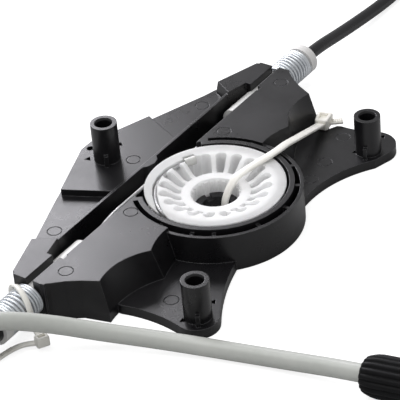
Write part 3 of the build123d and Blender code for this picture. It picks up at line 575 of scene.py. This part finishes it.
def make_boot():
    """Rings along the conduit's end run, each with a wave in its radius."""
    origin, side, lift, along = end_frame(LEFT_ROUTE)
    count = BOOT_FLUTES * POINTS_PER_FLUTE
    rings = []
    for distance, radius, fluted in BOOT_STATIONS:
        centre = origin + along * distance
        ring = []
        for i in range(count):
            turn = 2 * math.pi * i / count
            wave = abs(math.sin(turn * BOOT_FLUTES / 2)) ** FLUTE_SHARPNESS
            reach = radius - FLUTE_DEPTH * fluted * (1 - wave)
            ring.append(centre + side * (reach * math.cos(turn)) + lift * (reach * math.sin(turn)))
        rings.append(ring)
    return ring_mesh("fluted_boot", rings)


boot = make_boot()
finish_piece(boot, "boot_rubber", "sleeve_left_body", "rubber_boot")
print("boot flutes", BOOT_FLUTES, "faces", len(boot.data.polygons))

# %% [markdown]
# ## Stranded cable
#
# Each cable is six bundles of thin wires laid round a core. From here it reads as a cord with slanting
# lines. One way is a helix for each bundle; a lighter one sweeps a six-lobed section along the route
# and turns it as it goes, which is what this tree does.

# %% Six-lobed twisted section
CABLE_DIAMETER = 1.5
BUNDLE_BULGE = 0.2


def build_stranded_cable():
    """A lobed section that turns once in each lay length along its curve."""
    tree, given = repeat_tree("stranded_cable", {"Diameter": 0.0015, "Bundles": 6, "Lay": 0.009,
                                                 "Step": 0.0006})
    walk = walk_curve(tree, given["Geometry"], given["Step"])
    along = tree.nodes.new("GeometryNodeSplineParameter").outputs["Length"]
    turn = math_node(tree, "MULTIPLY", math_node(tree, "DIVIDE", along, given["Lay"]), 2 * math.pi)
    twisted = put(tree, "GeometryNodeSetCurveTilt", Curve=walk.outputs[0], Tilt=turn)
    ring = round_profile(tree, 24, given["Diameter"])
    share = tree.nodes.new("GeometryNodeSplineParameter").outputs["Factor"]
    lobes = math_node(tree, "MULTIPLY", math_node(tree, "MULTIPLY", share, given["Bundles"]), math.pi)
    bulge = math_node(tree, "ABSOLUTE", math_node(tree, "SINE", lobes))
    size = math_node(tree, "ADD", math_node(tree, "MULTIPLY", bulge, BUNDLE_BULGE), 1 - BUNDLE_BULGE)
    spot = tree.nodes.new("GeometryNodeInputPosition").outputs[0]
    scaled = tree.nodes.new("ShaderNodeVectorMath")
    scaled.operation = "SCALE"
    tree.links.new(spot, scaled.inputs[0])
    tree.links.new(size, scaled.inputs["Scale"])
    lobed = put(tree, "GeometryNodeSetPosition", Geometry=ring, Position=scaled.outputs[0])
    end_tree(tree, given, sweep_profile(tree, twisted.outputs[0], lobed.outputs[0]))
    return tree


STRANDED_CABLE = build_stranded_cable()
print("cable section", STRANDED_CABLE.name, "nodes", len(STRANDED_CABLE.nodes))


# %% Runs from the drum to the sleeves
def stranded(name, route, body, *nodes):
    """One stranded cable along a route."""
    line_curve = smooth_curve(name + "_line", route)
    piece = grow(name, STRANDED_CABLE, {"Diameter": CABLE_DIAMETER * MM}, "cable_steel", line_curve)
    finish_piece(piece, "cable_steel", body, *nodes)


WIND_RADIUS = 25.6
UPPER_Z = 15.4
LOWER_Z = 12.1
RUN_START = 9.2
RUN_LEVEL = 22.0
RUN_DIP = 37.0
RUN_MOUTH = 49.0
RUN_INSIDE = 56.0
RUN_END = 71.0


def run_route(side, z):
    """Level from the drum's tangent at first, then down into the sleeve."""
    near_drum = [(side * RUN_START, WIND_RADIUS + 0.1, z), (side * RUN_LEVEL, 26.0, z - 0.4),
                 (side * RUN_DIP, 26.3, z - 0.9)]
    return near_drum + [(side * x, CABLE_Y, CABLE_Z) for x in (RUN_MOUTH, RUN_INSIDE, RUN_END)]


stranded("strand_run_left", run_route(-1, UPPER_Z), "housing_body", "cable_run_left")
stranded("strand_run_right", run_route(1, LOWER_Z), "housing_body", "cable_run_right")

# %% [markdown]
# ## Cable on the drum
#
# The upper cable starts at a round nipple in a pocket of the drum, follows a curved channel out to the
# groove and leaves at the straight channel. The lower cable lies in the groove in close turns.

# %% Both cables on the drum
LOWER_TURNS = 4
CABLE_PITCH = 1.9
POINTS_PER_TURN = 24


def polar(radius, degrees, z):
    """A point by its radius and angle about the drum's axis."""
    return (radius * math.cos(math.radians(degrees)), radius * math.sin(math.radians(degrees)), z)


def arc_points(radius, first, last, count, low, high):
    """Points a little outside a circle, so that the spline through them lies on it."""
    step = (last - first) / count
    reach = radius / math.cos(math.radians(step / 2)) ** 2
    return [polar(radius if i in (0, count) else reach, first + step * i, low + (high - low) * i / count)
            for i in range(count + 1)]


# Angle and radius of the upper cable from its nipple to where it joins the groove
LEAD_IN = [(67.5, 22.3), (75, 22.4), (90, 22.9), (105, 23.4), (120, 23.8), (135, 24.2), (148, 24.9)]
UPPER_WRAP = (160, 450)
UPPER_WRAP_POINTS = 20
LOWER_START = 60
lead_in = [polar(radius, angle, UPPER_Z) for angle, radius in LEAD_IN]
wound = arc_points(WIND_RADIUS, *UPPER_WRAP, UPPER_WRAP_POINTS, UPPER_Z, UPPER_Z)
stranded("strand_upper", lead_in + wound, "drum_body", "cable_winding_upper")
lower_turns = arc_points(WIND_RADIUS, LOWER_START, LOWER_START + 360 * LOWER_TURNS,
                         POINTS_PER_TURN * LOWER_TURNS, LOWER_Z - CABLE_PITCH * (LOWER_TURNS - 1), LOWER_Z)
stranded("strand_lower", lower_turns, "drum_body", "cable_winding_lower")

# %% [markdown]
# ## Tension springs
#
# A spring on each sleeve keeps the cable tight. Bright zinc wire is wound close, with the end coils
# nearer together. The tree bends a spiral's spacing with a sine so that its ends close up.

# %% Coil tree
SPRING_OUTER = 13.2
SPRING_WIRE = 1.25
SPRING_LENGTH = 18.7
SPRING_TURNS = 11.5
SPRING_START_X = 85.3
WIRE_ROOM = 1.06


def build_coil():
    """A coil along X that starts and ends half a wire, and a hair more, inside its length."""
    tree, given = repeat_tree("closed_coil", {
        "Turns": SPRING_TURNS, "Wire": SPRING_WIRE * MM, "Outer": SPRING_OUTER * MM,
        "Length": SPRING_LENGTH * MM, "Start": SPRING_START_X * MM, "Side": 1.0, "Axis Y": CABLE_Y * MM,
        "Axis Z": CABLE_Z * MM, "End Closing": 0.35})
    mean = math_node(tree, "MULTIPLY", math_node(tree, "SUBTRACT", given["Outer"], given["Wire"]), 0.5)
    rise = math_node(tree, "SUBTRACT", given["Length"], math_node(tree, "MULTIPLY", given["Wire"], WIRE_ROOM))
    spiral = put(tree, "GeometryNodeCurveSpiral", Resolution=40, Rotations=given["Turns"], Start_Radius=mean,
                 End_Radius=mean, Height=0.0)
    share = tree.nodes.new("GeometryNodeSplineParameter").outputs["Factor"]
    wave = math_node(tree, "SINE", math_node(tree, "MULTIPLY", share, 2 * math.pi))
    pulled = math_node(tree, "MULTIPLY", wave, math_node(tree, "DIVIDE", given["End Closing"], 2 * math.pi))
    level = math_node(tree, "MULTIPLY", math_node(tree, "SUBTRACT", share, pulled), rise)
    spot = put(tree, "ShaderNodeSeparateXYZ", Vector=tree.nodes.new("GeometryNodeInputPosition").outputs[0])
    half_room = math_node(tree, "MULTIPLY", given["Wire"], WIRE_ROOM / 2)
    start = math_node(tree, "ADD", given["Start"], half_room)
    x = math_node(tree, "MULTIPLY", math_node(tree, "ADD", start, level), given["Side"])
    y = math_node(tree, "ADD", spot.outputs[0], given["Axis Y"])
    z = math_node(tree, "ADD", spot.outputs[1], given["Axis Z"])
    place = put(tree, "ShaderNodeCombineXYZ", X=x, Y=y, Z=z)
    laid = put(tree, "GeometryNodeSetPosition", Geometry=spiral.outputs[0], Position=place.outputs[0])
    end_tree(tree, given, sweep_profile(tree, laid.outputs[0], round_profile(tree, 12, given["Wire"])))
    return tree


CLOSED_COIL = build_coil()
print("coil tree", CLOSED_COIL.name, "turns", SPRING_TURNS)


# %% Springs at both ends
def add_spring(side_name, side):
    spring = grow(f"spring_{side_name}_coil", CLOSED_COIL, {"Side": float(side)}, "spring_zinc")
    finish_piece(spring, "spring_zinc", "housing_body", f"tension_spring_{side_name}")
    return spring


springs = {"left": add_spring("left", -1), "right": add_spring("right", 1)}
print("springs", [spring.name for spring in springs.values()])

# %% [markdown]
# ## Ties
#
# A cream nylon tie holds the drum still while the unit is shipped: it drops through the drum, passes
# under the floor and comes up round the plate's edge into its head. A second, smaller one is round
# the left spring. Nylon straps bend in smooth arcs, so a strap is a smooth line with a flat section
# whose width keeps to a given side. A curve with a flat bevel would be shorter, but then Blender
# would choose how the strap turns about its line.

# %% Flat strap along a smooth line
STRAP_BEVEL = 0.22


def strap_section(width, thick):
    """Corners of a flat section whose edges are bevelled."""
    w, t = width / 2, thick / 2
    inner_w, inner_t = w - STRAP_BEVEL, t - STRAP_BEVEL
    return [(w, -inner_t), (w, inner_t), (inner_w, t), (-inner_w, t), (-w, inner_t), (-w, -inner_t),
            (-inner_w, -t), (inner_w, -t)]


def make_strap(name, route, first_side, width, thick):
    """A flat strap along a route, whose width starts near the given side and turns with the line."""
    line_curve = smooth_curve(name + "_line", route, resolution=10)
    points = [Vector(point) / MM for point in line_points(line_curve)]
    bpy.data.objects.remove(line_curve)
    side = Vector(first_side).normalized()
    rings = []
    for i, point in enumerate(points):
        ahead = points[min(i + 1, len(points) - 1)] - points[max(i - 1, 0)]
        along = ahead.normalized()
        side = (side - along * side.dot(along)).normalized()
        face = along.cross(side)
        rings.append([point + side * a + face * b for a, b in strap_section(width, thick)])
    return ring_mesh(name, rings)


# %% [markdown]
# ## Heads and tails of the ties
#
# A tie's head is a small rounded block with a recess where its pawl sits, and its tail has ratchet
# teeth. The head is a cube with bevelled edges whose top face is inset and pushed in. A tooth could be
# cut into the tail, but a row of small bars laid on it looks the same here and is far simpler, and
# since they repeat at an even pitch, a node tree makes them.

# %% Head of a tie
HEAD_NARROW = 0.8
HEAD_ROUNDING = 0.6
HEAD_RIM = 0.16
PAWL_DEPTH = 1.2


def tie_head(name, centre, size, turn):
    """A rounded head, a little narrower where the strap enters, with a recess in its top for the pawl."""
    work = bmesh.new()
    bmesh.ops.create_cube(work, size=1.0)
    for vertex in work.verts:
        share = HEAD_NARROW if vertex.co.x < 0 else 1.0
        vertex.co = Vector((vertex.co.x * size[0], vertex.co.y * size[1] * share, vertex.co.z * size[2])) * MM
    bmesh.ops.bevel(work, geom=list(work.edges), offset=HEAD_ROUNDING * MM, segments=3, profile=0.5,
                    affect="EDGES")
    top = max(work.faces, key=lambda face: face.calc_center_median().z + face.calc_area())
    bmesh.ops.inset_region(work, faces=[top], thickness=size[1] * HEAD_RIM * MM, depth=0.0)
    pulled = bmesh.ops.extrude_discrete_faces(work, faces=[top])["faces"][0]
    for vertex in pulled.verts:
        vertex.co.z -= PAWL_DEPTH * MM
    cosine, sine = math.cos(turn), math.sin(turn)
    for vertex in work.verts:
        x, y = vertex.co.x, vertex.co.y
        vertex.co = Vector((x * cosine - y * sine, x * sine + y * cosine, vertex.co.z)) + Vector(centre) * MM
    mesh = bpy.data.meshes.new(name)
    work.to_mesh(mesh)
    work.free()
    print(name, "faces", len(mesh.polygons))
    return add_object(name, mesh)


# %% Row of ratchet teeth
def build_tooth_row():
    """Small bars at an even pitch along a straight run, for the teeth on a tie's tail."""
    tree, given = repeat_tree("tooth_row", {"Count": 8, "Pitch": 0.001, "Width": 0.003, "Height": 0.0004,
                                            "Turn": 0.0, "Tilt": 0.0, "X": 0.0, "Y": 0.0, "Z": 0.0})
    step = put(tree, "ShaderNodeCombineXYZ", X=given["Pitch"])
    row = put(tree, "GeometryNodeMeshLine", Count=given["Count"], Offset=step.outputs[0])
    half_pitch = math_node(tree, "MULTIPLY", given["Pitch"], 0.5)
    size = put(tree, "ShaderNodeCombineXYZ", X=half_pitch, Y=given["Width"], Z=given["Height"])
    bar = put(tree, "GeometryNodeMeshCube", Size=size.outputs[0])
    teeth = put(tree, "GeometryNodeInstanceOnPoints", Points=row.outputs[0], Instance=bar.outputs[0])
    place = put(tree, "ShaderNodeCombineXYZ", X=given["X"], Y=given["Y"], Z=given["Z"])
    turned = put(tree, "ShaderNodeCombineXYZ", Y=given["Tilt"], Z=given["Turn"])
    laid = put(tree, "GeometryNodeTransform", Geometry=teeth.outputs[0], Translation=place.outputs[0],
               Rotation=turned.outputs[0])
    end_tree(tree, given, laid.outputs[0], smooth=False)
    return tree


TOOTH_ROW = build_tooth_row()
TOOTH_HEIGHT = 0.4


def tail_teeth(name, start, end, width, pitch, above):
    """Teeth on the upper face of a straight tail between two points."""
    run = Vector(end) - Vector(start)
    level = math.hypot(run.x, run.y)
    count = int(run.length / pitch)
    sizes = {"Count": count, "Pitch": pitch * MM, "Width": width * MM, "Height": TOOTH_HEIGHT * MM,
             "Turn": math.atan2(run.y, run.x), "Tilt": -math.atan2(run.z, level),
             "X": start[0] * MM, "Y": start[1] * MM, "Z": (start[2] + above) * MM}
    teeth = grow(name, TOOTH_ROW, sizes, "tie_natural")
    finish_piece(teeth, "tie_natural", "housing_body")


print("tooth tree", TOOTH_ROW.name, "height", TOOTH_HEIGHT, "mm")

# %% Transport tie
TIE_WIDTH = 3.4
TIE_THICK = 1.2
TIE_HEAD = (72.0, -5.0, 7.0)
TIE_HEAD_SIZE = (6.8, 6.6, 5.0)
TIE_TAIL = [(73.2, -5.6, 5.9), (75.5, -8.2, 5.7), (77.8, -10.8, 5.5)]
TIE_LINE = [(69.5, -5.8, 7.2), (58.0, -7.2, 10.9), (45.0, -8.8, 15.0), (36.5, -9.9, 17.9), (29.0, -9.9, 18.6),
            (21.5, -8.0, 18.3), (14.5, -5.6, 17.5), (9.5, -3.7, 16.1), (6.4, -2.6, 13.3), (4.6, -1.9, 10.2),
            (3.4, -1.5, 7.4), (3.1, -1.4, 4.0), (3.1, -1.4, 1.5), (3.6, -1.45, 1.15), (6.5, -1.6, 1.15),
            (30.0, -2.8, 1.15), (60.0, -4.26, 1.15), (71.0, -4.8, 1.15), (73.2, -4.9, 1.2), (73.3, -4.9, 2.6),
            (73.2, -4.9, 5.4)]
TIE_HEAD_TURN = 0.25
TIE_TEETH_START = (74.6, -7.2, 5.8)
TIE_TOOTH_PITCH = 0.8
transport_strap = make_strap("transport_strap", TIE_LINE, (0, 1, 0), TIE_WIDTH, TIE_THICK)
finish_piece(transport_strap, "tie_natural", "housing_body", "transport_tie")
transport_head = tie_head("transport_head", TIE_HEAD, TIE_HEAD_SIZE, TIE_HEAD_TURN)
finish_piece(transport_head, "tie_natural", "housing_body")
transport_tail = make_strap("transport_tail", TIE_TAIL, (1, 1, 0), TIE_WIDTH, TIE_THICK)
finish_piece(transport_tail, "tie_natural", "housing_body")
tail_teeth("transport_teeth", TIE_TEETH_START, TIE_TAIL[-1], TIE_WIDTH * 0.6, TIE_TOOTH_PITCH, TIE_THICK / 2)

# %% Small tie on the left spring
CLIP_X = -91.0
CLIP_TURN = math.radians(-27.0)
CLIP_WIDTH = 2.5
CLIP_THICK = 1.0
CLIP_GAP = 0.3
CLIP_LOOSENESS = 1.03
CLIP_RADIUS = (SPRING_OUTER / 2 + CLIP_GAP + CLIP_THICK / 2) * CLIP_LOOSENESS
CLIP_TOOTH_PITCH = 0.9
CLIP_HEAD = (-98.4, 12.2, 3.2)
CLIP_HEAD_SIZE = (5.0, 4.2, 4.4)
CLIP_TAIL = [(-98.8, 14.0, 1.6), (-101.5, 18.0, 1.5), (-106.5, 20.2, 1.5), (-112.1, 21.3, 1.5),
             (-118.6, 22.4, 1.5)]


def clip_point(degrees):
    """A point on the band, in the plane that is turned a little against the spring's axis."""
    across = CLIP_RADIUS * math.cos(math.radians(degrees))
    lift = CLIP_RADIUS * math.sin(math.radians(degrees))
    return (CLIP_X + across * math.tan(-CLIP_TURN), CABLE_Y + across, CABLE_Z + lift)


clip_line = [clip_point(degrees) for degrees in range(-135, 171, 15)]
clip_line += [(-95.6, 18.4, 7.2), (-97.4, 14.6, 4.2), CLIP_HEAD]
clip_band = make_strap("clip_band", clip_line, (1, 0.2, 0), CLIP_WIDTH, CLIP_THICK)
finish_piece(clip_band, "tie_natural", "housing_body", "spring_tie")
clip_head = tie_head("clip_head", CLIP_HEAD, CLIP_HEAD_SIZE, CLIP_TURN)
finish_piece(clip_head, "tie_natural", "housing_body")
clip_tail = make_strap("clip_tail", CLIP_TAIL, (1, -0.3, 0), CLIP_WIDTH, CLIP_THICK)
finish_piece(clip_tail, "tie_natural", "housing_body")
tail_teeth("clip_teeth", CLIP_TAIL[2], CLIP_TAIL[-1], CLIP_WIDTH * 0.7, CLIP_TOOTH_PITCH, CLIP_THICK / 2)

# %% [markdown]
# ## Floor, world and lamps
#
# The photo was taken on white with soft, wide light, so the shadows are faint. The floor glows a
# little for the camera alone, so it shows white while it throws less light on the dark walls, and the
# world is white behind the part and dimmer for the light it gives. A soft panel stands behind the
# part, a little left of where the housing's flat tops mirror the camera, and puts the grey sheen on
# them. A larger panel overhead lights the white drum.

# %% Floor
FLOOR_HALF = 2.5
FLOOR_Z = -0.00003
FLOOR_LIFT = 0.78
FLOOR_GREY = (0.55, 0.55, 0.55, 1)


def make_floor():
    """A pale plane just below the part that takes its shadow."""
    mesh = bpy.data.meshes.new("studio_floor")
    corners = [(x * FLOOR_HALF, y * FLOOR_HALF, FLOOR_Z) for x, y in ((-1, -1), (1, -1), (1, 1), (-1, 1))]
    mesh.from_pydata(corners, [], [(0, 1, 2, 3)])
    floor = add_object("studio_floor", mesh)
    material = bpy.data.materials.new("studio_floor")
    material.use_nodes = True
    tree = material.node_tree
    tree.nodes.clear()
    matt = put(tree, "ShaderNodeBsdfDiffuse", Color=FLOOR_GREY)
    seen = tree.nodes.new("ShaderNodeLightPath")
    lift = math_node(tree, "MULTIPLY", seen.outputs["Is Camera Ray"], FLOOR_LIFT)
    glow = put(tree, "ShaderNodeEmission", Color=(1, 1, 1, 1), Strength=lift)
    both = tree.nodes.new("ShaderNodeAddShader")
    tree.links.new(matt.outputs[0], both.inputs[0])
    tree.links.new(glow.outputs[0], both.inputs[1])
    out = tree.nodes.new("ShaderNodeOutputMaterial")
    tree.links.new(both.outputs[0], out.inputs[0])
    mesh.materials.append(material)


make_floor()
print("floor", 2 * FLOOR_HALF, "m wide")

# %% World
WORLD_LIGHT = 0.45


def make_world():
    """Even light from all round, with a brighter white where the camera looks past the floor."""
    world = bpy.data.worlds.new("studio_world")
    world.use_nodes = True
    tree = world.node_tree
    tree.nodes.clear()
    ambient = put(tree, "ShaderNodeBackground", Color=(1, 1, 1, 1), Strength=WORLD_LIGHT)
    shown = put(tree, "ShaderNodeBackground", Color=(1, 1, 1, 1), Strength=1.0)
    rays = tree.nodes.new("ShaderNodeLightPath")
    seen = math_node(tree, "MAXIMUM", rays.outputs["Is Camera Ray"], rays.outputs["Is Transmission Ray"])
    pick = put(tree, "ShaderNodeMixShader", Fac=seen)
    tree.links.new(ambient.outputs[0], pick.inputs[1])
    tree.links.new(shown.outputs[0], pick.inputs[2])
    out = tree.nodes.new("ShaderNodeOutputWorld")
    tree.links.new(pick.outputs[0], out.inputs[0])
    bpy.context.scene.world = world


make_world()
print("world", bpy.context.scene.world.name, "light", WORLD_LIGHT)


# %% Lamps
def add_panel(name, place, target, size, power, tint=(1.0, 1.0, 1.0)):
    """A soft rectangular panel that faces a target."""
    lamp = bpy.data.lights.new(name, "AREA")
    lamp.shape = "RECTANGLE"
    lamp.size, lamp.size_y = size
    lamp.energy = power
    lamp.color = tint
    panel = add_object(name, lamp)
    panel.location = place
    aim = Vector(target) - Vector(place)
    panel.rotation_euler = aim.to_track_quat("-Z", "Y").to_euler()
    print(name, "power", power, "W at", round(aim.length, 2), "m")


CENTRE = (0.0, 0.01, 0.0)
add_panel("sheen_panel", (0.41, 0.63, 0.435), CENTRE, (0.38, 0.46), 5.0, (0.96, 0.95, 1.0))
add_panel("overhead_panel", (-0.25, 0.25, 1.2), CENTRE, (1.0, 1.0), 7.5)

# %% [markdown]
# ## The conduits and the end of the lesson
#
# The names of the two conduits are printed.

print("cords", grey_conduit.name, black_conduit.name)

# %% Give each spring a mesh of its own
for side_name, side in (("left", -1), ("right", 1)):
    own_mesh(springs[side_name])
